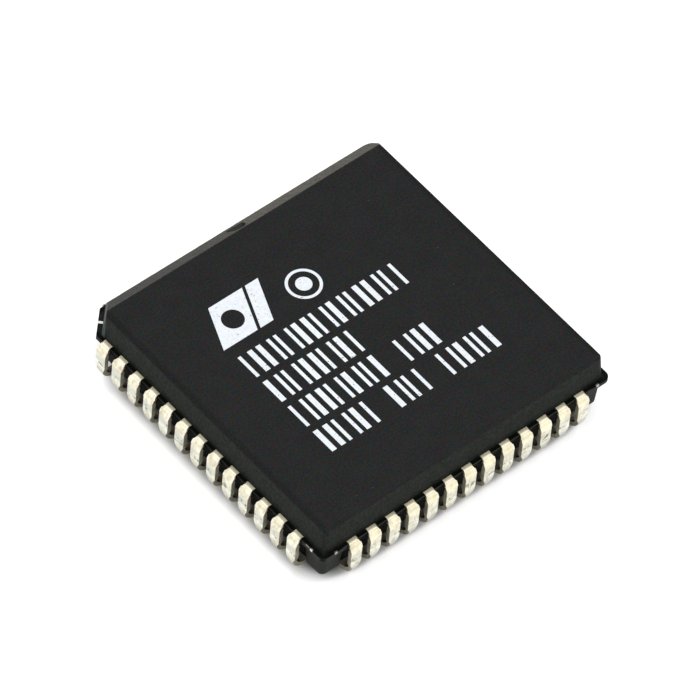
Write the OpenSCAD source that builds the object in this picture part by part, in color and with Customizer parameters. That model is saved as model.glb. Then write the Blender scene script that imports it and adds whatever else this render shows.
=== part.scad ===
// Leaded chip carrier for a programmable peripheral: a moulded body around a stamped
// lead frame, with J-bent leads on all four sides. Millimetres, +Z up.
// The origin is the middle of the footprint on the seating plane, where the leads touch.
// +X is the reading direction of the marking, +Y points to the side with pin 1.

/* [Body] */
// Width of the upper half, wall to wall at the lead frame
body_w = 18.9; // [18:0.1:21]
// Height of the flat top above the seating plane
total_h = 4.24; // [4:0.02:5]
// Gap between the underside and the seating plane
standoff = 0.62; // [0.55:0.01:0.8]
// Slope of the upper walls, in degrees
upper_draft = 6; // [2:0.5:9]
// Slope of the lower walls, in degrees
lower_draft = 4.5; // [2:0.5:8]
// Radius of the upright corners at the lead frame
corner_r = 0.45; // [0.4:0.01:0.6]
// Radius of the flash's corners
flash_corner_r = 0.38; // [0.2:0.01:0.5]
// Radius along the rim of the flat top
rim_r = 0.14; // [0.05:0.01:0.16]
// Reach of the thin flash past the upper walls
flash_reach = 0.23; // [0.1:0.01:0.25]
// Reach of the flash past the cut corner's wall
cut_flash_reach = 0.27; // [0.1:0.01:0.3]
// Step from the edge of the flash down to the lower corner blocks
block_step = 0.25; // [0.1:0.01:0.35]
// Set-back of the lower wall behind the leads
row_setback = 0.15; // [0.05:0.01:0.3]
// Side gap between a row's last lead and the corner block
block_gap = 0.12; // [0.05:0.01:0.2]
// Width of the sloped edge on the side with pin 1
bevel_w = 0.9; // [0.5:0.02:1]
// Leg of the cut corner next to pin 1's side
corner_cut = 1.2; // [1:0.01:1.3]
// Radius of the orientation notch
notch_r = 0.55; // [0.4:0.01:0.7]
// Distance from the sloped edge's inner line to the notch
notch_margin = 0.08; // [0.02:0.02:0.3]
// Distance from the flat top down to the notch's floor
notch_depth = 0.76; // [0.5:0.02:0.9]
// Radius of the ejector mark on the underside
ejector_r = 1.5; // [1:0.1:3]
// Depth of the ejector mark
ejector_depth = 0.06; // [0.02:0.01:0.15]

/* [Leads] */
// Spacing of the leads
pitch = 1.27; // [1.22:0.01:1.28]
// Thickness of the lead frame
frame_t = 0.25; // [0.2:0.01:0.3]
// Height of the lead frame's upper face above the seating plane
frame_top = 2.62; // [2.5:0.02:2.8]
// Distance from the upper wall to the outer face of a lead
lead_reach = 0.53; // [0.45:0.01:0.58]
// Width of a lead where it leaves the body
neck_w = 0.6; // [0.4:0.01:0.62]
// Width of the neck where it meets the ears
neck_end_w = 0.66; // [0.6:0.01:0.72]
// Width over the ears, the sheared ends of the dam bar
ear_w = 0.75; // [0.72:0.01:0.84]
// Width of a lead's outer face
face_w = 0.7; // [0.66:0.01:0.7]
// Width of a lead's foot
foot_w = 0.42; // [0.33:0.01:0.56]
// Length of the parallel neck past the flash's edge
neck_reach = 0.02; // [0.01:0.01:0.1]
// Outward run from the parallel neck to the ears
widen_run = 0.1; // [0.05:0.01:0.14]
// Outward run of an ear's slanted edge
ear_slant = 0.03; // [0.01:0.01:0.04]
// Height at which the ears end above the outer face
ear_z = 2.2; // [2.12:0.01:2.3]
// Outer radius of the bend that turns a lead downwards
crown_r = 0.5; // [0.4:0.01:0.52]
// Outer radius of the J-bend, as a share of the way from the last lead to the outer faces
bend_share = 0.461; // [0.34:0.001:0.53]
// Sweep of the J-bend, in degrees
bend_sweep = 145; // [110:5:150]
// Height at which the outer face starts to narrow
taper_top = 1.1; // [0.9:0.01:1.2]
// Height at which the foot has its full narrowness
taper_bottom = 0.74; // [0.4:0.01:0.8]

/* [Lead frame inside the body] */
// Width of the die pad
pad_w = 7.4; // [6.4:0.1:8]
// Gap between the die pad and the finger tips
finger_gap = 0.45; // [0.3:0.01:0.7]
// Width of a finger at its tip
tip_w = 0.3; // [0.2:0.01:0.34]
// Spacing of the finger tips
tip_pitch = 0.56; // [0.5:0.01:0.6]
// Straight part of a finger, as a share of the way from the last lead to the wall
straight_share = 0.588; // [0.4:0.001:0.8]
// Width of the tie bars that carry the die pad
tie_w = 0.3; // [0.2:0.01:0.34]
// Width of the bare tie bar end at the cut corner
tie_end_w = 0.16; // [0.12:0.01:0.2]
// Length of that narrow end
tie_end_l = 0.9; // [0.7:0.1:1.2]
// Width of the two arms at the end of a tie bar
arm_w = 0.18; // [0.15:0.01:0.26]
// Length of a lead's flat root inside the wall, up to where its finger starts
root_l = 0.3; // [0.2:0.05:0.6]
// Place of an arm, as a share of the way from the last lead to where the corner's round starts
arm_share = 0.787; // [0.6:0.001:0.9]

/* [Die and wires] */
// Width of the silicon die
die_w = 5.4; // [4:0.1:6]
// Thickness of the silicon die
die_t = 0.38; // [0.2:0.01:0.45]
// Thickness of the adhesive under the die
attach_t = 0.03; // [0.02:0.01:0.06]
// Width of the adhesive that shows around the die
attach_margin = 0.1; // [0.05:0.01:0.3]
// Thickness of a bond wire
wire_t = 0.03; // [0.02:0.005:0.05]
// Spacing of the wires on the die
bond_pitch = 0.38; // [0.28:0.01:0.4]
// Distance from the die's edge to its bond row
bond_inset = 0.15; // [0.1:0.01:0.4]
// Distance from a finger's tip to where its wire lands
landing_inset = 0.2; // [0.1:0.01:0.5]
// Rise of a wire above the die
loop_rise = 0.22; // [0.12:0.01:0.4]
// Share of a wire's span that runs level
loop_level = 0.3; // [0.1:0.05:0.5]

/* [Marking] */
// Thickness of the printed ink
ink_t = 0.02; // [0.01:0.005:0.04]
// Height of the printed rows
row_h = 1.56; // [1:0.01:1.8]
// Spacing of the printed rows
row_pitch = 1.99; // [1.85:0.01:2.05]
// Height of the first row's foot above the middle of the top
row_top_y = 0.42; // [0:0.01:0.5]
// Left margin of the printed rows
row_left_x = -5.7; // [-6.5:0.05:-5.5]
// Spacing of the pairs of bars in a row
cell_pitch = 1.16; // [1:0.01:1.2]
// Width of a pair of bars
cell_w = 0.92; // [0.8:0.01:0.95]
// Width of a thin bar
bar_w = 0.2; // [0.15:0.01:0.24]
// Width of a wide bar
wide_bar_w = 0.31; // [0.25:0.01:0.36]
// Place of the ring's middle along the reading direction
ring_x = 0.1; // [-0.2:0.05:0.4]
// Height of the ring's middle above the middle of the top
ring_y = 3.63; // [3.4:0.01:3.8]
// Outer radius of the printed ring
ring_r = 0.99; // [0.8:0.01:1.1]
// Width of the printed ring's line
ring_line = 0.17; // [0.1:0.01:0.3]
// Radius of the dot in the ring
ring_dot_r = 0.45; // [0.2:0.01:0.55]
// Width of the printed panel
panel_w = 3.3; // [2.9:0.05:3.6]
// Lean of the panel's sides from foot to top
panel_lean = 1.1; // [0:0.05:1.2]
// Height of the printed panel
panel_h = 2.6; // [2:0.1:2.7]
// Height of the panel's foot above the middle of the top
panel_y = 2.76; // [2.6:0.02:3]
// Left end of the panel's foot
panel_x = -5.95; // [-6.2:0.05:-5.6]
// Share of the panel's width to the left of its slot
slot_share = 0.68; // [0.6:0.01:0.75]
// Radius of the panel's round window
window_r = 0.62; // [0.4:0.02:0.7]

/* [Hidden] */
$fn = 48;
leads_per_side = 13;
lead_count = 4 * leads_per_side;
wall = body_w / 2;
frame_bottom = frame_top - frame_t;
flash = wall + flash_reach;
block = flash - block_step;
rim = wall - (total_h - frame_top) * tan(upper_draft);
lead_out = wall + lead_reach;
cut_sum = 2 * wall - corner_cut;
flash_cut_sum = cut_sum + cut_flash_reach * sqrt(2);
row_half = (leads_per_side - 1) / 2 * pitch;
row_end = row_half + neck_w / 2;
bend_r = bend_share * (lead_out - row_end);
block_start = row_half + face_w / 2 + block_gap;
root_y = wall - root_l;
// Axis of the crown, the bend that turns a lead downwards
crown_y = lead_out - crown_r;
crown_z = frame_top - crown_r;
tip_y = pad_w / 2 + finger_gap;
pad_top = frame_top;
attach_w = die_w + 2 * attach_margin;
die_bottom = pad_top + attach_t;
die_top = die_bottom + die_t;
bond_y = die_w / 2 - bond_inset;
landing_y = tip_y + landing_inset;
// Room that a cutting tool needs past a face
over = 1;

// Each word of a printed row is its first cell and its number of cells
ROWS = [
    [[0, 9]],
    [[0, 5]],
    [[0, 5], [6, 2]],
    [[0, 3], [4, 2], [7, 3]]
];

// Leads are counted the way pins are: from the middle of the side with pin 1,
// against the clock as seen from above
function two_digits(n) = n < 10 ? str("0", n) : str(n);
function lead_name(n) = str("lead_", two_digits(n));
function lead_step(n) = n - 1 + (leads_per_side - 1) / 2;
function lead_side(n) = floor(lead_step(n) / leads_per_side) % 4;
function lead_place(n) = lead_step(n) % leads_per_side - (leads_per_side - 1) / 2;

// Half of a drafted wall section: upright line on the left, wall on the right
module half_section(foot, top, height, round_r) {
    slope = atan2(foot - top, height);
    turn = 90 - slope;
    centre_x = top - round_r * tan(turn / 2);
    difference() {
        polygon([[0, 0], [foot, 0], [top, height], [0, height]]);
        if (round_r > 0)
            translate([centre_x, height - round_r])
                difference() {
                    polygon([
                        [0, round_r + over],
                        [0, 0],
                        [round_r * cos(slope), round_r * sin(slope)],
                        [round_r + over, round_r * sin(slope)],
                        [round_r + over, round_r + over]
                    ]);
                    circle(round_r);
                }
    }
}

// Block with drafted walls, conical corners and, where asked, a rounded rim
module drafted_block(foot, top, height, radius, round_r) {
    core = foot - radius;
    translate([-core, -core, 0])
        cube([2 * core, 2 * core, height]);
    for (turn = [0:90:270])
        rotate([0, 0, turn])
            translate([core, core, 0]) {
                rotate([90, 0, 0])
                    linear_extrude(2 * core)
                        half_section(radius, radius - foot + top, height, round_r);
                rotate_extrude(angle = 90)
                    half_section(radius, radius - foot + top, height, round_r);
            }
}

// Everything past the cut corner, as a tool that leans in by the given slope. The sum is
// how far the cut's plane lies from the middle along one axis, at the given level.
module corner_tool(sum, level, slope) {
    reach = 2 * total_h;
    translate([-sum / 2, sum / 2, level])
        rotate([0, 0, 135])
            rotate([0, -slope, 0])
                translate([0, -reach, -reach])
                    cube(2 * reach);
}

module upper_half() {
    difference() {
        translate([0, 0, frame_top])
            drafted_block(wall, rim, total_h - frame_top, corner_r, rim_r);
        corner_tool(cut_sum, frame_top, upper_draft);
        pin_side_bevel();
        pin_notch();
    }
}

module pin_side_bevel() {
    translate([0, rim - bevel_w, total_h])
        rotate([-45, 0, 0])
            translate([-wall - over, -over, 0])
                cube([2 * (wall + over), total_h, total_h]);
}

module pin_notch() {
    translate([0, rim - bevel_w + notch_margin + notch_r, total_h - notch_depth])
        cylinder(r = notch_r, h = notch_depth + over);
}

// Resin that filled the spaces of the lead frame out to its dam
module flash_plate() {
    core = flash - flash_corner_r;
    difference() {
        translate([0, 0, frame_bottom])
            union() {
                for (turn = [0, 90])
                    rotate([0, 0, turn])
                        translate([-flash, -core, 0])
                            cube([2 * flash, 2 * core, frame_t]);
                for (sx = [-1, 1], sy = [-1, 1])
                    translate([sx * core, sy * core, 0])
                        cylinder(r = flash_corner_r, h = frame_t);
            }
        corner_tool(flash_cut_sum, frame_top, 0);
    }
}

module lower_half() {
    height = frame_bottom - standoff;
    foot = block - height * tan(lower_draft);
    difference() {
        translate([0, 0, frame_bottom])
            mirror([0, 0, 1])
                drafted_block(block, foot, height, corner_r, 0);
        corner_tool(flash_cut_sum - block_step * sqrt(2), frame_bottom, -lower_draft);
        for (side = [0:3])
            rotate([0, 0, 90 * side])
                row_recess(height);
        translate([0, 0, standoff - over])
            cylinder(r = ejector_r, h = over + ejector_depth);
    }
}

// The lower wall stands back behind each row of leads
module row_recess(height) {
    lean = height * tan(lower_draft);
    near = block - row_setback;
    translate([-block_start, 0, 0])
        rotate([90, 0, 90])
            linear_extrude(2 * block_start)
                polygon([
                    [near, frame_bottom],
                    [near - lean, standoff],
                    [near - lean, standoff - over],
                    [near + over, standoff - over],
                    [near + over, frame_bottom]
                ]);
}

module moulded_body() {
    color([0.16, 0.16, 0.165])
        difference() {
            union() {
                upper_half();
                flash_plate();
                lower_half();
            }
            for (n = [1:lead_count])
                on_side(n)
                    finger_slot(lead_place(n));
            pad_and_ties();
            attach_block();
            die_block();
            wire_set();
            ink_layer();
        }
}

// Turns a lead drawn on the side with pin 1 to its own side
module on_side(n) {
    rotate([0, 0, 90 * lead_side(n)])
        children();
}

// A lead's flat part inside the body: straight at the wall, then slanted to the pad
module finger_plan(place, reach) {
    outer_x = -place * pitch;
    inner_x = -place * tip_pitch;
    knee_y = wall - straight_share * (wall - row_end);
    polygon([
        [outer_x - neck_w / 2, reach],
        [outer_x - neck_w / 2, knee_y],
        [inner_x - tip_w / 2, tip_y],
        [inner_x + tip_w / 2, tip_y],
        [outer_x + neck_w / 2, knee_y],
        [outer_x + neck_w / 2, reach]
    ]);
}

module finger_slot(place) {
    translate([0, 0, frame_bottom])
        linear_extrude(frame_t)
            finger_plan(place, flash + over);
}

// Section of the bent part, with the body on the left
module bent_section() {
    translate([root_y, frame_bottom])
        square([crown_y - root_y, frame_t]);
    translate([crown_y, crown_z])
        arc_band(crown_r, 0, 90);
    translate([lead_out - frame_t, bend_r])
        square([frame_t, crown_z - bend_r]);
    translate([lead_out - bend_r, bend_r])
        arc_band(bend_r, -bend_sweep, bend_sweep);
}

// Band of the frame's thickness that follows an arc
module arc_band(outer_r, start, sweep) {
    far = 2 * outer_r;
    intersection() {
        difference() {
            circle(outer_r);
            circle(outer_r - frame_t);
        }
        polygon(concat([[0, 0]], [
            for (k = [0:4])
                far * [cos(start + k * sweep / 4), sin(start + k * sweep / 4)]
        ]));
    }
}

// Front outline of the bent part: the ears above, the face, and the narrow foot
module front_outline() {
    ear_foot = ear_z - ear_slant;
    polygon([
        [-ear_w / 2, frame_top + over],
        [-ear_w / 2, ear_z],
        [-face_w / 2, ear_foot],
        [-face_w / 2, taper_top],
        [-foot_w / 2, taper_bottom],
        [-foot_w / 2, -over],
        [foot_w / 2, -over],
        [foot_w / 2, taper_bottom],
        [face_w / 2, taper_top],
        [face_w / 2, ear_foot],
        [ear_w / 2, ear_z],
        [ear_w / 2, frame_top + over]
    ]);
}

// The neck widens a little past the flash's edge, up to the ears where the dam bar was cut
module neck_tool() {
    start = flash + neck_reach;
    ear_y = start + widen_run;
    for (side = [0, 1])
        mirror([side, 0, 0])
            translate([0, 0, crown_z])
                linear_extrude(crown_r + over)
                    polygon([
                        [neck_w / 2, root_y - over],
                        [neck_w / 2, start],
                        [neck_end_w / 2, ear_y],
                        [ear_w / 2, ear_y + ear_slant],
                        [ear_w / 2 + over, ear_y + ear_slant],
                        [ear_w / 2 + over, root_y - over]
                    ]);
}

module bent_part() {
    difference() {
        intersection() {
            translate([-ear_w / 2, 0, 0])
                rotate([90, 0, 90])
                    linear_extrude(ear_w)
                        bent_section();
            translate([0, lead_out + over, 0])
                rotate([90, 0, 0])
                    linear_extrude(lead_out + over)
                        front_outline();
        }
        neck_tool();
    }
}

module lead(n) {
    color([0.86, 0.83, 0.76])
        on_side(n) {
            translate([0, 0, frame_bottom])
                linear_extrude(frame_t)
                    finger_plan(lead_place(n), root_y);
            translate([-lead_place(n) * pitch, 0, 0])
                bent_part();
        }
}

// Die pad with its four tie bars. Three split into two arms that reach the flash's edge
// beside the corner, and the one at the cut corner runs straight out.
module pad_and_ties() {
    translate([0, 0, frame_bottom])
        linear_extrude(frame_t) {
            square(pad_w, center = true);
            for (turn = [0, 180, 270])
                rotate(turn)
                    forked_tie();
            rotate(135)
                straight_tie();
        }
}

module straight_tie() {
    end_x = flash_cut_sum / sqrt(2);
    translate([0, -tie_w / 2])
        square([end_x - tie_end_l, tie_w]);
    translate([0, -tie_end_w / 2])
        square([end_x, tie_end_w]);
}

module forked_tie() {
    near = row_end + arm_share * (wall - corner_r - row_end) - arm_w / 2;
    far = near + arm_w;
    rotate(45)
        translate([0, -tie_w / 2])
            square([near * sqrt(2) + arm_w / 4, tie_w]);
    polygon([[near, near], [flash, near], [flash, far], [far, far], [far, flash], [near, flash]]);
}

module die_pad() {
    color([0.72, 0.45, 0.3])
        pad_and_ties();
}

module attach_block() {
    translate([-attach_w / 2, -attach_w / 2, pad_top])
        cube([attach_w, attach_w, attach_t]);
}

module die_attach() {
    color([0.7, 0.7, 0.68])
        attach_block();
}

module die_block() {
    translate([-die_w / 2, -die_w / 2, die_bottom])
        cube([die_w, die_w, die_t]);
}

module silicon_die() {
    color([0.3, 0.32, 0.38])
        die_block();
}

// One wire in its own upright plane: up from the die, level, then down to the finger
module wire(place) {
    start = [-place * bond_pitch, bond_y];
    finish = [-place * tip_pitch, landing_y];
    span = norm(finish - start);
    top = die_top + loop_rise;
    level = span * loop_level;
    fall = atan2(top - frame_top, span - level);
    translate([start[0], start[1], 0])
        rotate([90, 0, atan2(finish[1] - start[1], finish[0] - start[0])])
            translate([0, 0, -wire_t / 2])
                linear_extrude(wire_t)
                    polygon([
                        [0, die_top],
                        [0, top],
                        [level, top],
                        [span, frame_top],
                        [span - wire_t / sin(fall), frame_top],
                        [level - wire_t * tan(fall / 2), top - wire_t],
                        [wire_t, top - wire_t],
                        [wire_t, die_top]
                    ]);
}

module wire_set() {
    for (n = [1:lead_count])
        on_side(n)
            wire(lead_place(n));
}

module bond_wires() {
    color([0.93, 0.74, 0.3])
        wire_set();
}

// A cell is a plain pair of bars, each thin or wide in turn
module cell(k) {
    left_w = k % 2 == 0 ? bar_w : wide_bar_w;
    right_w = k % 3 == 0 ? wide_bar_w : bar_w;
    square([left_w, row_h]);
    translate([cell_w - right_w, 0])
        square([right_w, row_h]);
}

module printed_rows() {
    for (row = [0:len(ROWS) - 1], part = ROWS[row], k = [0:part[1] - 1])
        translate([row_left_x + (part[0] + k) * cell_pitch, row_top_y - row * row_pitch])
            cell(part[0] + k + row);
}

module printed_ring() {
    translate([ring_x, ring_y]) {
        difference() {
            circle(ring_r);
            circle(ring_r - ring_line);
        }
        circle(ring_dot_r);
    }
}

module printed_panel() {
    slot_x = panel_w * slot_share;
    translate([panel_x, panel_y])
        difference() {
            leaning_strip(0, panel_w, 0);
            leaning_strip(slot_x, bar_w, over);
            translate([(slot_x + panel_lean) / 2, panel_h / 2])
                circle(window_r);
        }
}

// Strip that leans like the panel and runs past its foot and top by the given length
module leaning_strip(left, width, past) {
    lean = panel_lean / panel_h * past;
    polygon([
        [left - lean, -past],
        [left + width - lean, -past],
        [left + width + panel_lean + lean, panel_h + past],
        [left + panel_lean + lean, panel_h + past]
    ]);
}

// The print lies flush in the top, so that a nozzle or a spreader rests on the resin
module ink_layer() {
    translate([0, 0, total_h - ink_t])
        linear_extrude(ink_t) {
            printed_rows();
            printed_ring();
            printed_panel();
        }
}

module ink_marking() {
    color([0.93, 0.96, 1])
        ink_layer();
}

moulded_body();
for (n = [1:lead_count])
    lead(n);
die_pad();
die_attach();
silicon_die();
bond_wires();
ink_marking();
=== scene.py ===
"""Leaded chip carrier on a pale table: a matte moulded body, tin-plated J-leads and a plain white print."""

import math

import bpy
from mathutils import Matrix, Vector

MM = 0.001

# Sizes of the part, in millimetres, as in the solids
BODY_TOP = 4.24
FRAME_BOTTOM, FRAME_TOP = 2.37, 2.62
WALL, FLASH = 9.45, 9.68
PITCH, LEADS_PER_SIDE = 1.27, 13
NOTCH_R = 0.55
# How far from the middle of a side the tie ends stand
TIE_PLACE = 8.48
# The sloped edge lies where y + z is this
BEVEL_SUM = 12.62
# At the cut corner the upper wall lies where y - x is this
CUT_WALL = 17.7
# Where the set-back wall behind a row of leads ends
ROW_END = 8.09
# Slope of the lower walls: millimetres inwards for each one down
LOWER_SLOPE = 0.0787
# Half-width of the floor under the body, which is painted dark as shadow
UNDER_HALF = 8.0

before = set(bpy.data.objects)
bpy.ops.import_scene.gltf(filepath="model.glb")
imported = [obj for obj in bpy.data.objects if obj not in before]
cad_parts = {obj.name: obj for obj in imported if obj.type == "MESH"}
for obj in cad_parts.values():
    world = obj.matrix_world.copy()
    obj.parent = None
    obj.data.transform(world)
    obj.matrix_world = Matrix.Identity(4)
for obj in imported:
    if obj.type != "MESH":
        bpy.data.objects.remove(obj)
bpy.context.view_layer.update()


class Graph:
    """Writes a node tree. A value may be a number or another node's output."""

    def __init__(self, tree):
        self.tree = tree
        tree.nodes.clear()

    def node(self, kind, inputs=None, **settings):
        made = self.tree.nodes.new(kind)
        for name, value in settings.items():
            setattr(made, name, value)
        for socket, value in (inputs or {}).items():
            self.feed(made.inputs[socket], value)
        return made

    def feed(self, socket, value):
        if isinstance(value, bpy.types.NodeSocket):
            self.tree.links.new(value, socket)
        else:
            socket.default_value = value

    def position(self):
        """Place in the row frame, in millimetres."""
        place = self.node("ShaderNodeTexCoord").outputs["Object"]
        return self.node("ShaderNodeVectorMath", {0: place, "Scale": 1 / MM}, operation="SCALE").outputs[0]

    def normal(self):
        return self.split(self.node("ShaderNodeNewGeometry").outputs["Normal"])

    def split(self, vector):
        return self.node("ShaderNodeSeparateXYZ", {0: vector}).outputs

    def math(self, operation, a, b=0.0, clamp=False):
        return self.node("ShaderNodeMath", {0: a, 1: b}, operation=operation, use_clamp=clamp).outputs[0]

    def absolute(self, value):
        return self.math("ABSOLUTE", value)

    def plus(self, a, b):
        return self.math("ADD", a, b)

    def minus(self, a, b):
        return self.math("SUBTRACT", a, b)

    def times(self, first, *others):
        for other in others:
            first = self.math("MULTIPLY", first, other)
        return first

    def greatest(self, first, *others):
        for other in others:
            first = self.math("MAXIMUM", first, other)
        return first

    def noise(self, where, scale, detail=3.0, roughness=0.55):
        return self.node(
            "ShaderNodeTexNoise", {"Vector": where, "Scale": scale, "Detail": detail, "Roughness": roughness}
        ).outputs["Fac"]

    def stretched(self, where, scale):
        return self.node("ShaderNodeVectorMath", {0: where, 1: scale}, operation="MULTIPLY").outputs[0]

    def between(self, value, low, high, to_low=0.0, to_high=1.0, smooth=True):
        """Value from low to high becomes to_low to to_high, clamped."""
        return self.node(
            "ShaderNodeMapRange",
            {"Value": value, "From Min": low, "From Max": high, "To Min": to_low, "To Max": to_high},
            interpolation_type="SMOOTHSTEP" if smooth else "LINEAR",
            clamp=True,
        ).outputs[0]

    def stripe(self, value, centre, core, border):
        """1 within core of the centre, 0 beyond border."""
        return self.between(self.absolute(self.minus(value, centre)), core, border, 1.0, 0.0)

    def mix(self, factor, a, b):
        made = self.node("ShaderNodeMix", data_type="RGBA")
        self.feed(made.inputs["Factor"], factor)
        self.feed(made.inputs[6], a)
        self.feed(made.inputs[7], b)
        return made.outputs[2]

    def coat(self, base, mask, share, shade):
        """Lays a shade over the base where the mask is, as strongly as share says."""
        return self.mix(self.times(mask, share), base, shade)

    def bump(self, height, strength, distance_mm):
        return self.node(
            "ShaderNodeBump", {"Height": height, "Strength": strength, "Distance": distance_mm * MM}
        ).outputs[0]


class Place:
    """The shaded point in millimetres, and how far it stands out from the middle of the part."""

    def __init__(self, g):
        self.g = g
        self.where = g.position()
        self.x, self.y, self.z = g.split(self.where)
        self.away_x, self.away_y = g.absolute(self.x), g.absolute(self.y)
        self.out = g.greatest(self.away_x, self.away_y)

    def x_side(self, low=0.0, high=1.0):
        """Low on the two y sides, high on the two x sides."""
        return self.g.between(self.g.minus(self.away_x, self.away_y), -0.1, 0.1, low, high)


def colour(r, g, b):
    return (r, g, b, 1.0)


def new_material(name):
    material = bpy.data.materials.new(name)
    material.use_nodes = True
    return material, Graph(material.node_tree)


def finish_material(g, **inputs):
    named = {name.replace("_", " "): value for name, value in inputs.items()}
    shader = g.node("ShaderNodeBsdfPrincipled", named)
    g.node("ShaderNodeOutputMaterial", {"Surface": shader.outputs[0]})


def resin_mottle(g, p, grain):
    """Near-black with a fine grain, patches of brown, blue, purple and green, and a few pale specks."""
    tone = g.plus(g.times(grain, 0.8), g.times(g.noise(p.where, 0.9), 0.2))
    base = g.mix(g.between(tone, 0.36, 0.64), colour(0.0074, 0.0087, 0.0079), colour(0.0320, 0.0350, 0.0316))

    brown, blue = colour(0.0335, 0.0175, 0.0105), colour(0.0070, 0.0215, 0.0330)
    tint = g.between(g.noise(g.stretched(p.where, (1.0, 1.0, 1.3)), 4.0, 3.0, 0.75), 0.40, 0.60)
    base = g.mix(0.5, base, g.mix(tint, brown, blue))
    purple, green = colour(0.0320, 0.0135, 0.0320), colour(0.0095, 0.0290, 0.0105)
    hue = g.between(g.noise(g.stretched(p.where, (1.0, 1.0, 1.4)), 8.0, 2.0, 0.7), 0.42, 0.58)
    base = g.mix(0.3, base, g.mix(hue, purple, green))

    cell = g.node("ShaderNodeTexVoronoi", {"Vector": p.where, "Scale": 1.1})
    speck = g.between(cell.outputs["Distance"], 0.02, 0.055, 1.0, 0.0)
    rare = g.between(g.split(cell.outputs["Color"])[0], 0.80, 0.82)
    return g.coat(base, speck, g.times(rare, 0.35), colour(0.16, 0.15, 0.14))


class BodyRegions:
    """Masks of the moulded body that several coats share: 1 inside and 0 outside."""

    def __init__(self, g, p):
        self.along = g.math("MINIMUM", p.away_x, p.away_y)
        self.row = g.between(self.along, ROW_END, ROW_END - 0.04)
        self.beside_row = g.minus(1.0, self.row)
        self.below_frame = g.between(p.z, FRAME_BOTTOM - 0.02, FRAME_BOTTOM - 0.06)
        self.flash_edge = g.between(p.out, FLASH - 0.05, FLASH - 0.01)
        flash_face = g.times(self.flash_edge, g.between(p.z, FRAME_TOP - 0.02, FRAME_TOP - 0.06))
        self.block = g.times(self.beside_row, g.greatest(self.below_frame, flash_face))


def coat_walls(g, p, base):
    """A coarser tone on all upright faces."""
    upright = g.between(g.absolute(g.normal()[2]), 0.3, 0.6, 1.0, 0.0)
    coarse = g.between(g.noise(p.where, 6.5, 2.0, 0.8), 0.40, 0.60)
    tone = g.mix(coarse, colour(0.007, 0.012, 0.007), colour(0.031, 0.036, 0.028))
    return g.coat(base, upright, 0.45, tone)


def paint_light_on_blocks(g, p, regions, base):
    """Painted light on the corner blocks: paler, most of all near the frame and at their lower edge."""
    near_frame = g.between(p.z, 1.4, 2.0, 0.35, 0.72)
    lower_edge = g.between(p.z, 0.9, 0.7, 0.35, 0.68)
    return g.coat(base, regions.block, g.greatest(near_frame, lower_edge), colour(0.043, 0.045, 0.039))


def coat_shadows(g, p, regions, base):
    """Painted shade that deepens the wall's foot, the top edge on the x sides, the ledge and the recess
    behind the leads.
    """
    foot = g.times(
        g.between(p.out, WALL - 0.10, WALL - 0.06),
        g.between(p.z, FRAME_TOP + 0.45, FRAME_TOP + 0.02),
        g.between(p.z, FRAME_TOP - 0.02, FRAME_TOP),
    )
    base = g.coat(base, foot, 0.52, colour(0.002, 0.003, 0.0015))

    top_edge = g.times(g.between(p.out, 8.85, 9.10), g.between(p.z, BODY_TOP - 0.29, BODY_TOP - 0.09))
    base = g.coat(base, top_edge, p.x_side(0.0, 0.25), colour(0.002, 0.002, 0.002))

    ledge = g.times(
        g.between(p.out, WALL - 0.02, WALL + 0.02), g.between(p.z, FRAME_TOP + 0.03, FRAME_TOP + 0.01)
    )
    spared = g.greatest(g.times(regions.beside_row, 0.15), regions.block)
    base = g.coat(base, ledge, g.math("SUBTRACT", 0.8, spared, clamp=True), colour(0.0018, 0.0026, 0.0014))

    lower_out = g.plus(p.out, g.times(g.minus(FRAME_BOTTOM, p.z), LOWER_SLOPE))
    recess = g.times(
        g.between(lower_out, WALL - 0.22, WALL - 0.18),
        g.between(lower_out, WALL - 0.08, WALL - 0.12),
        regions.row,
        regions.below_frame,
    )
    return g.coat(base, recess, 0.95, colour(0.0006, 0.0008, 0.0005))


def paint_highlight_on_bevel(g, p, base):
    """Painted highlight on the sloped edge, in patches, growing towards the notch and full past it, and a
    weaker one in the notch.
    """
    slope = g.plus(p.y, p.z)
    before_notch = g.between(p.x, -8.5, -1.0, 0.26, 0.52, smooth=False)
    past_notch = g.between(p.x, -0.4, 0.6)
    highlight_patches = g.between(g.noise(g.stretched(p.where, (6.0, 1.2, 1.2)), 1.0, 3.0, 0.7), 0.32, 0.68, 0.5, 1.0)
    grainy = g.between(g.noise(p.where, 5.5, 2.0, 0.8), 0.38, 0.62, 0.62, 1.0)
    bevel = g.times(g.stripe(slope, BEVEL_SUM, 0.02, 0.05), g.greatest(before_notch, past_notch), highlight_patches)
    base = g.coat(base, bevel, grainy, colour(0.108, 0.101, 0.082))

    notch = g.times(
        g.between(p.away_x, NOTCH_R + 0.05, NOTCH_R + 0.02),
        g.between(slope, BEVEL_SUM - 0.03, BEVEL_SUM - 0.06),
        g.between(p.y, 7.8, 7.9),
        g.between(p.z, BODY_TOP - 0.02, BODY_TOP - 0.04),
        g.between(p.z, 3.2, 3.3),
    )
    return g.coat(base, notch, 0.34, colour(0.092, 0.086, 0.070))


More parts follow.
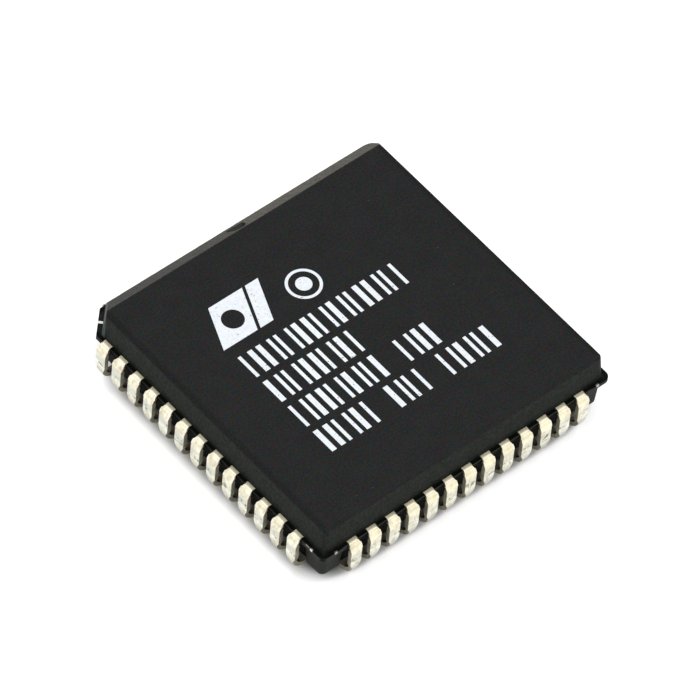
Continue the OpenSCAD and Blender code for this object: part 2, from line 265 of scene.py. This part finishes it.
def coat_flash(g, p, regions, base):
    """Painted shade on the flash between the leads, stronger on the x sides, a painted highlight on its rim,
    and one smear of metal by a tie end.
    """
    x_side = p.x_side()
    face = g.times(regions.row, regions.flash_edge, g.between(p.z, FRAME_TOP - 0.02, FRAME_TOP - 0.04))
    base = g.coat(base, face, g.between(x_side, 0.0, 1.0, 0.2, 0.98), colour(0.001, 0.0013, 0.0008))

    rim = g.times(regions.flash_edge, g.between(p.z, FRAME_TOP - 0.03, FRAME_TOP - 0.01))
    # Painted highlight along the rim: weaker on the x sides and none near the corners
    plain = g.times(g.between(regions.along, 8.5, 8.2), g.between(x_side, 0.0, 1.0, 0.6, 0.3))
    base = g.coat(base, rim, plain, colour(0.10, 0.095, 0.08))
    smear = g.times(g.stripe(p.y, -TIE_PLACE, 0.08, 0.2), g.between(p.x, -9.5, -9.6))
    return g.coat(base, rim, smear, colour(0.50, 0.49, 0.44))


def coat_cut_corner(g, p, base):
    """A painted highlight on the wall at the cut corner, where it catches more light."""
    outside = g.between(g.minus(p.y, p.x), CUT_WALL - 0.26, CUT_WALL - 0.23)
    above = g.between(p.z, FRAME_TOP + 0.02, FRAME_TOP + 0.08)
    return g.coat(base, g.times(outside, above), 0.5, colour(0.110, 0.128, 0.118))


def moulded_resin():
    """Near-black epoxy with a fine spark-eroded grain."""
    material, g = new_material("resin")
    p = Place(g)
    regions = BodyRegions(g, p)
    grain = g.noise(p.where, 8.5, 2.0, 0.7)
    base = resin_mottle(g, p, grain)
    base = coat_walls(g, p, base)
    base = paint_light_on_blocks(g, p, regions, base)
    base = coat_shadows(g, p, regions, base)
    base = paint_highlight_on_bevel(g, p, base)
    base = coat_flash(g, p, regions, base)
    base = coat_cut_corner(g, p, base)
    fine, coarse = g.noise(p.where, 14.0, 3.0, 0.65), g.noise(p.where, 5.0, 2.0)
    finish_material(
        g,
        Base_Color=base,
        Roughness=g.between(grain, 0.3, 0.7, 0.44, 0.56),
        Specular_IOR_Level=0.03,
        Normal=g.bump(g.plus(g.times(fine, 0.6), g.times(coarse, 0.4)), 0.5, 0.012),
    )
    return material


class LeadPlace(Place):
    """A point on a lead: which side it is on, its place along the row, and a seed of the lead's own."""

    # Steps of the seed: from one lead to the next, and from the y sides to the x sides
    LEAD_STEP, SIDE_STEP = 5.3, 90.0

    def __init__(self, g):
        super().__init__(g)
        self.on_x = g.math("GREATER_THAN", self.away_x, self.away_y)
        self.on_y = g.minus(1.0, self.on_x)
        self.along = g.plus(g.times(self.on_x, self.y), g.times(self.on_y, self.x))
        one_side = g.plus(g.times(self.on_x, self.x), g.times(self.on_y, self.y))
        number = g.math("ROUND", g.math("DIVIDE", self.along, PITCH))
        side = g.plus(g.times(self.on_x, self.SIDE_STEP), one_side)
        self.seed = g.plus(g.times(number, self.LEAD_STEP), side)

    def noise(self, across, up, detail, roughness=0.55):
        """Noise of one lead, with its scales across the width and up the height."""
        along, height = self.g.times(self.along, across), self.g.times(self.z, up)
        sheet = self.g.node("ShaderNodeCombineXYZ", {0: along, 1: height, 2: self.seed})
        return self.g.noise(sheet.outputs[0], 1.0, detail, roughness)


def coat_lead_face(g, p, tin):
    """A painted reflection that makes the face paler low down, and a greyer band across the upper face,
    stronger on the x sides.
    """
    # Painted reflection: the face is paler low down
    pale = g.times(g.between(p.z, 1.75, 1.25), g.between(p.noise(2.0, 3.5, 2.0), 0.42, 0.58))
    tin = g.coat(tin, pale, 0.6, colour(0.90, 0.93, 0.83))
    band = g.times(
        g.between(p.z, 2.12, 1.82),
        g.between(p.z, 1.36, 1.50),
        g.between(p.noise(0.6, 2.2, 1.0), 0.38, 0.58, 0.35, 0.95),
    )
    return g.coat(tin, band, g.between(p.on_x, 0.0, 1.0, 0.55, 1.0), colour(0.62, 0.63, 0.57))


def forming_marks(g, p):
    """Dark broken scratches across the face, and small dents below them."""
    scratches = g.times(
        g.stripe(p.noise(0.8, 4.2, 1.0), 0.5, 0.02, 0.06),
        g.times(g.between(p.z, 1.85, 1.60), g.between(p.z, 1.15, 1.40)),
        g.between(p.noise(4.0, 2.0, 2.0), 0.48, 0.56),
    )
    dents = g.times(g.between(p.noise(6.0, 9.0, 2.0, 0.6), 0.60, 0.68), g.between(p.z, 1.5, 1.1))
    return scratches, dents


def coat_shoulder(g, p, shoulder, upper, tin):
    """Painted shade on the crown and just past the crest, a warm painted highlight on the y sides, a duller
    shoulder that is partly painted shade, and a painted highlight where the neck meets the bend.
    """
    # Painted shade tones the crown down
    crown = g.times(g.between(p.out, FLASH, FLASH + 0.05), g.between(p.z, 2.15, 2.35))
    tin = g.coat(tin, crown, 0.10, colour(0.60, 0.55, 0.40))
    # Painted highlight: the y-side leads are warmer high on the face
    warm = g.times(p.on_y, g.between(p.z, 1.85, 2.25))
    tin = g.coat(tin, warm, 0.35, colour(0.97, 0.88, 0.60))
    # Painted shade: a darker line just past the crest
    valley_shade = g.times(g.stripe(p.out, FLASH + 0.055, 0.01, 0.035), upper)
    tin = g.coat(tin, valley_shade, 0.35, colour(0.66, 0.60, 0.46))
    # The shoulder is duller, its darker colour partly painted shade
    tin = g.coat(tin, shoulder, 0.80, colour(0.60, 0.54, 0.39))
    # Painted highlight along the crest
    crest = g.times(g.stripe(p.out, FLASH - 0.005, 0.0, 0.03), upper)
    return g.coat(tin, crest, 0.9, colour(0.96, 0.93, 0.79))


def plated_lead():
    """Warm tin-lead plate, with painted shade that greys it towards the foot, darkens the foot, paints the
    sheared sides dark olive and the inner faces near-black.
    """
    material, g = new_material("lead_tin")
    p = LeadPlace(g)
    patches, drawn = p.noise(3.0, 2.6, 4.0, 0.6), p.noise(30.0, 3.0, 3.0)
    tone = g.plus(g.times(patches, 0.65), g.times(drawn, 0.35))
    tin = g.mix(g.between(tone, 0.36, 0.64), colour(0.62, 0.57, 0.43), colour(0.97, 0.94, 0.76))
    tin = coat_lead_face(g, p, tin)
    scratches, dents = forming_marks(g, p)
    tin = g.coat(tin, scratches, 0.85, colour(0.09, 0.085, 0.07))
    tin = g.coat(tin, dents, 0.45, colour(0.26, 0.25, 0.21))
    upper = g.between(p.z, FRAME_TOP - 0.14, FRAME_TOP - 0.08)
    shoulder = g.times(g.between(p.out, FLASH - 0.02, FLASH - 0.09), upper)
    tin = coat_shoulder(g, p, shoulder, upper, tin)

    # Painted shade: greyer towards the foot, and darker still on the foot
    tin = g.mix(g.between(p.z, 1.40, 0.65, 0.0, 0.62), tin, colour(0.40, 0.41, 0.39))
    foot = g.between(p.z, 0.62, 0.25)
    tin = g.coat(tin, foot, 0.75, colour(0.30, 0.25, 0.17))

    # Painted shade: the sheared sides are painted dark olive
    normal_x, normal_y, _ = g.normal()
    sideways = g.plus(g.times(p.on_x, g.absolute(normal_y)), g.times(p.on_y, g.absolute(normal_x)))
    sheared = g.between(sideways, 0.62, 0.90)
    olive = g.mix(
        g.between(g.noise(p.where, 4.0), 0.35, 0.65), colour(0.22, 0.21, 0.145), colour(0.38, 0.35, 0.25)
    )
    tin = g.coat(tin, sheared, 0.92, olive)
    # Painted shade on the inner faces, which turn towards the body
    outward = g.plus(
        g.times(normal_x, g.times(p.on_x, g.math("SIGN", p.x))),
        g.times(normal_y, g.times(p.on_y, g.math("SIGN", p.y))),
    )
    tin = g.coat(tin, g.between(outward, -0.35, -0.65), 0.85, colour(0.07, 0.065, 0.05))

    height = g.plus(g.times(drawn, 0.35), g.times(patches, 0.35))
    height = g.minus(height, g.times(g.plus(scratches, dents), 0.5))
    dull = g.greatest(g.times(sheared, 0.8), g.times(foot, 0.5), g.times(shoulder, 0.6))
    finish_material(
        g,
        Base_Color=tin,
        Metallic=g.minus(1.0, dull),
        Roughness=g.plus(g.between(patches, 0.3, 0.7, 0.32, 0.46), g.times(shoulder, 0.12)),
        Normal=g.bump(height, 0.6, 0.02),
    )
    return material


def white_ink():
    """Flat cool-white print that thins out at tiny pinholes."""
    material, g = new_material("ink")
    where = g.position()
    patches = g.noise(where, 5.0, 4.0, 0.6)
    pinholes = g.between(g.noise(where, 7.5, 1.0), 0.27, 0.31, 1.0, 0.0)
    base = g.mix(g.between(patches, 0.3, 0.7), colour(0.80, 0.85, 0.90), colour(0.90, 0.94, 0.98))
    base = g.coat(base, pinholes, 0.7, colour(0.10, 0.11, 0.13))
    finish_material(
        g, Base_Color=base, Roughness=0.6, Normal=g.bump(g.noise(where, 20.0, 2.0), 0.25, 0.005)
    )
    return material


def coat_tie_ends(g, base, end):
    """Dark where the ties lie in the wall, bare metal where they show, with painted shade making them dimmer
    on the y sides.
    """
    p = Place(g)
    metal = colour(*end)
    base = g.mix(g.between(p.out, WALL - 0.1, WALL), base, colour(0.03, 0.03, 0.028))
    bare = g.times(
        g.between(p.out, FLASH - 0.10, FLASH - 0.06), g.between(p.z, FRAME_TOP - 0.13, FRAME_TOP - 0.09)
    )
    # Painted shade: the bare ends are dimmer on the y sides
    base = g.mix(bare, base, g.mix(p.x_side(0.45, 1.0), colour(0.2, 0.19, 0.17), metal))
    at_cut_corner = g.between(g.minus(p.y, p.x), CUT_WALL, CUT_WALL + 0.05)
    return g.mix(at_cut_corner, base, metal)


def inner_metal(name, low, high, scale, roughness, end=None):
    """Satin metal of the sealed frame and wires. Ends that reach the outside may have their own colour."""
    material, g = new_material(name)
    tone = g.noise(g.position(), scale, 4.0, 0.6)
    base = g.mix(g.between(tone, 0.3, 0.7), colour(*low), colour(*high))
    if end:
        base = coat_tie_ends(g, base, end)
    finish_material(
        g,
        Base_Color=base,
        Metallic=1.0,
        Roughness=g.between(tone, 0.3, 0.7, roughness, roughness + 0.12),
        Normal=g.bump(tone, 0.3, 0.01),
    )
    return material


def adhesive():
    """Silver-filled paste: grey flakes."""
    material, g = new_material("adhesive")
    flakes = g.noise(g.position(), 12.0, 4.0, 0.7)
    finish_material(
        g,
        Base_Color=g.mix(g.between(flakes, 0.35, 0.65), colour(0.50, 0.50, 0.48), colour(0.72, 0.72, 0.70)),
        Metallic=0.4,
        Roughness=0.55,
        Normal=g.bump(flakes, 0.4, 0.01),
    )
    return material


def silicon():
    """Polished die: a grid of pale blocks and lines over blue-grey."""
    material, g = new_material("silicon")
    where = g.position()
    blocks = g.node("ShaderNodeTexBrick", {
        "Vector": where, "Color1": colour(0.10, 0.11, 0.16), "Color2": colour(0.17, 0.16, 0.20),
        "Mortar": colour(0.30, 0.27, 0.22), "Scale": 1.3, "Mortar Size": 0.02,
    }).outputs["Color"]
    tone = g.noise(where, 6.0)
    finish_material(
        g,
        Base_Color=g.mix(g.between(tone, 0.3, 0.7, 0.0, 0.4), blocks, colour(0.08, 0.10, 0.17)),
        Metallic=0.6,
        Roughness=g.between(tone, 0.3, 0.7, 0.16, 0.26),
    )
    return material


# Round on the edges of the leads and weld before it, in millimetres, and the least edge angle in degrees
EDGE_ROUND, WELD, EDGE_ANGLE = 0.03, 0.001, 28


def dress(node, material, edge_mm=0.0):
    """Gives a CAD node its material and, where asked, a small round on its edges."""
    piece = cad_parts[node]
    piece.data.materials.clear()
    piece.data.materials.append(material)
    if edge_mm:
        weld = piece.modifiers.new("weld", "WELD")
        weld.merge_threshold = WELD * MM
        round_edge = piece.modifiers.new("edge", "BEVEL")
        round_edge.width = edge_mm * MM
        round_edge.segments = 2
        round_edge.limit_method = "ANGLE"
        round_edge.angle_limit = math.radians(EDGE_ANGLE)
        round_edge.harden_normals = True


def dress_part():
    copper = ((0.62, 0.50, 0.38), (0.80, 0.68, 0.52))
    gold = ((0.82, 0.60, 0.22), (0.95, 0.76, 0.36))
    bare_end = (0.88, 0.86, 0.80)
    tin = plated_lead()
    dress("moulded_body", moulded_resin())
    for n in range(1, 4 * LEADS_PER_SIDE + 1):
        dress(f"lead_{n:02d}", tin, edge_mm=EDGE_ROUND)
    dress("die_pad", inner_metal("frame_copper", *copper, scale=6.0, roughness=0.35, end=bare_end))
    dress("die_attach", adhesive())
    dress("silicon_die", silicon())
    dress("bond_wires", inner_metal("gold", *gold, scale=30.0, roughness=0.22))
    dress("ink_marking", white_ink())


# Camera fitted to the photograph: azimuth, elevation and roll in degrees, distance and target in millimetres
AZIMUTH, ELEVATION, ROLL = -44.821, 51.812, 5.955
DISTANCE, TARGET = 428.8, (1.561, 1.254, 0.0)
FOCAL_PIXELS, PICTURE_PIXELS, SENSOR = 8297.3, 700, 36.0


def add_camera():
    a, e, r = (math.radians(v) for v in (AZIMUTH, ELEVATION, ROLL))
    back = Vector((math.sin(a) * math.cos(e), -math.cos(a) * math.cos(e), math.sin(e)))
    level = Vector((math.cos(a), math.sin(a), 0))
    upright = back.cross(level)
    right = level * math.cos(r) + upright * math.sin(r)
    up = upright * math.cos(r) - level * math.sin(r)
    camera = bpy.data.objects.new("camera", bpy.data.cameras.new("camera"))
    bpy.context.scene.collection.objects.link(camera)
    turn = Matrix((right, up, back)).transposed().to_4x4()
    camera.matrix_world = Matrix.Translation((Vector(TARGET) + back * DISTANCE) * MM) @ turn
    camera.data.sensor_width = SENSOR
    camera.data.lens = FOCAL_PIXELS / PICTURE_PIXELS * SENSOR
    camera.data.clip_start, camera.data.clip_end = 0.01, 10
    bpy.context.scene.camera = camera


# Floor: half its width in metres, and how far under the feet it lies in millimetres
FLOOR_HALF, FLOOR_GAP = 1.5, 0.002
# Glow of the floor outside the contact shadow, and level of the tent overhead, where 1 is white
FLOOR_GLOW, TENT_OVERHEAD = 0.46, 0.86
# Painted outline of the contact shadow in millimetres: half-width along x before it fades, and how much
# narrower it is at +x and +y
SHADOW_HALF, NARROWER_X, NARROWER_Y = 6.44, 0.3, 1.3


def seen_rays(g):
    """1 for the rays that show the background: from the camera, and off or through a surface."""
    rays = g.node("ShaderNodeLightPath").outputs
    return g.greatest(rays["Is Camera Ray"], rays["Is Glossy Ray"], rays["Is Transmission Ray"])


def past(g, value, limit):
    """How far the value is over the limit."""
    return g.greatest(g.minus(value, limit), 0.0)


def distance(g, a, b):
    return g.math("SQRT", g.plus(g.times(a, a), g.times(b, b)))


def clear_of_shadow(g, x, y):
    """1 where the paper glows and 0 inside the painted outline of the part's contact shadow, which is
    narrower on the two far sides.
    """
    across = g.greatest(g.times(x, -1.0), g.plus(x, NARROWER_X))
    deep = g.greatest(g.times(y, -1.0), g.plus(y, NARROWER_Y))
    beside = distance(g, g.times(past(g, across, SHADOW_HALF), 0.5), past(g, deep, UNDER_HALF))
    corner = g.plus(g.times(across, 1.15), g.times(deep, 0.85))
    return g.greatest(g.between(beside, 1.53, 1.93), g.between(corner, 17.1, 19.15))


def add_floor():
    """White paper, painted dark under the body as shadow. Its glow stops at the part's foot, so that the
    contact shadow keeps its depth.
    """
    mesh = bpy.data.meshes.new("floor")
    corners = [(x * FLOOR_HALF, y * FLOOR_HALF, 0) for x, y in ((-1, -1), (1, -1), (1, 1), (-1, 1))]
    mesh.from_pydata(corners, [], [(0, 1, 2, 3)])
    floor = bpy.data.objects.new("floor", mesh)
    floor.location.z = -FLOOR_GAP * MM
    bpy.context.scene.collection.objects.link(floor)
    material, g = new_material("floor")
    x, y, _ = g.split(g.position())
    from_body = distance(g, *(past(g, g.absolute(v), UNDER_HALF) for v in (x, y)))
    # Painted shadow: the paper is dark under the body
    dark, white = colour(0.05, 0.05, 0.05), colour(0.86, 0.86, 0.86)
    paper = g.node("ShaderNodeBsdfDiffuse", {"Color": g.mix(g.between(from_body, 0.6, 1.5), dark, white)})
    strength = g.times(seen_rays(g), clear_of_shadow(g, x, y), FLOOR_GLOW)
    glow = g.node("ShaderNodeEmission", {"Color": colour(1, 1, 1), "Strength": strength})
    surface = g.node("ShaderNodeAddShader", {0: paper.outputs[0], 1: glow.outputs[0]}).outputs[0]
    g.node("ShaderNodeOutputMaterial", {"Surface": surface})
    mesh.materials.append(material)


def add_world():
    """An even light tent, slightly dimmer overhead, and pure white for the camera."""
    world = bpy.data.worlds.new("studio")
    bpy.context.scene.world = world
    world.use_nodes = True
    g = Graph(world.node_tree)
    height = g.split(g.node("ShaderNodeTexCoord").outputs["Generated"])[2]
    tent = g.between(height, 0.15, 0.85, 1.0, TENT_OVERHEAD)
    level = g.greatest(seen_rays(g), tent)
    background = g.node("ShaderNodeBackground", {"Color": colour(1, 1, 1), "Strength": level})
    g.node("ShaderNodeOutputWorld", {"Surface": background.outputs[0]})


def add_softbox(name, place, size, watts):
    light = bpy.data.objects.new(name, bpy.data.lights.new(name, "AREA"))
    light.data.size = size
    light.data.energy = watts
    light.location = place
    light.rotation_mode = "QUATERNION"
    light.rotation_quaternion = (-Vector(place)).to_track_quat("-Z", "Y")
    bpy.context.scene.collection.objects.link(light)


dress_part()
add_camera()
add_floor()
add_world()
add_softbox("left", (-0.26, 0.22, 0.42), size=0.50, watts=0.45)
add_softbox("right", (0.26, -0.22, 0.42), size=0.50, watts=0.25)
bpy.context.scene.view_settings.view_transform = "Standard"
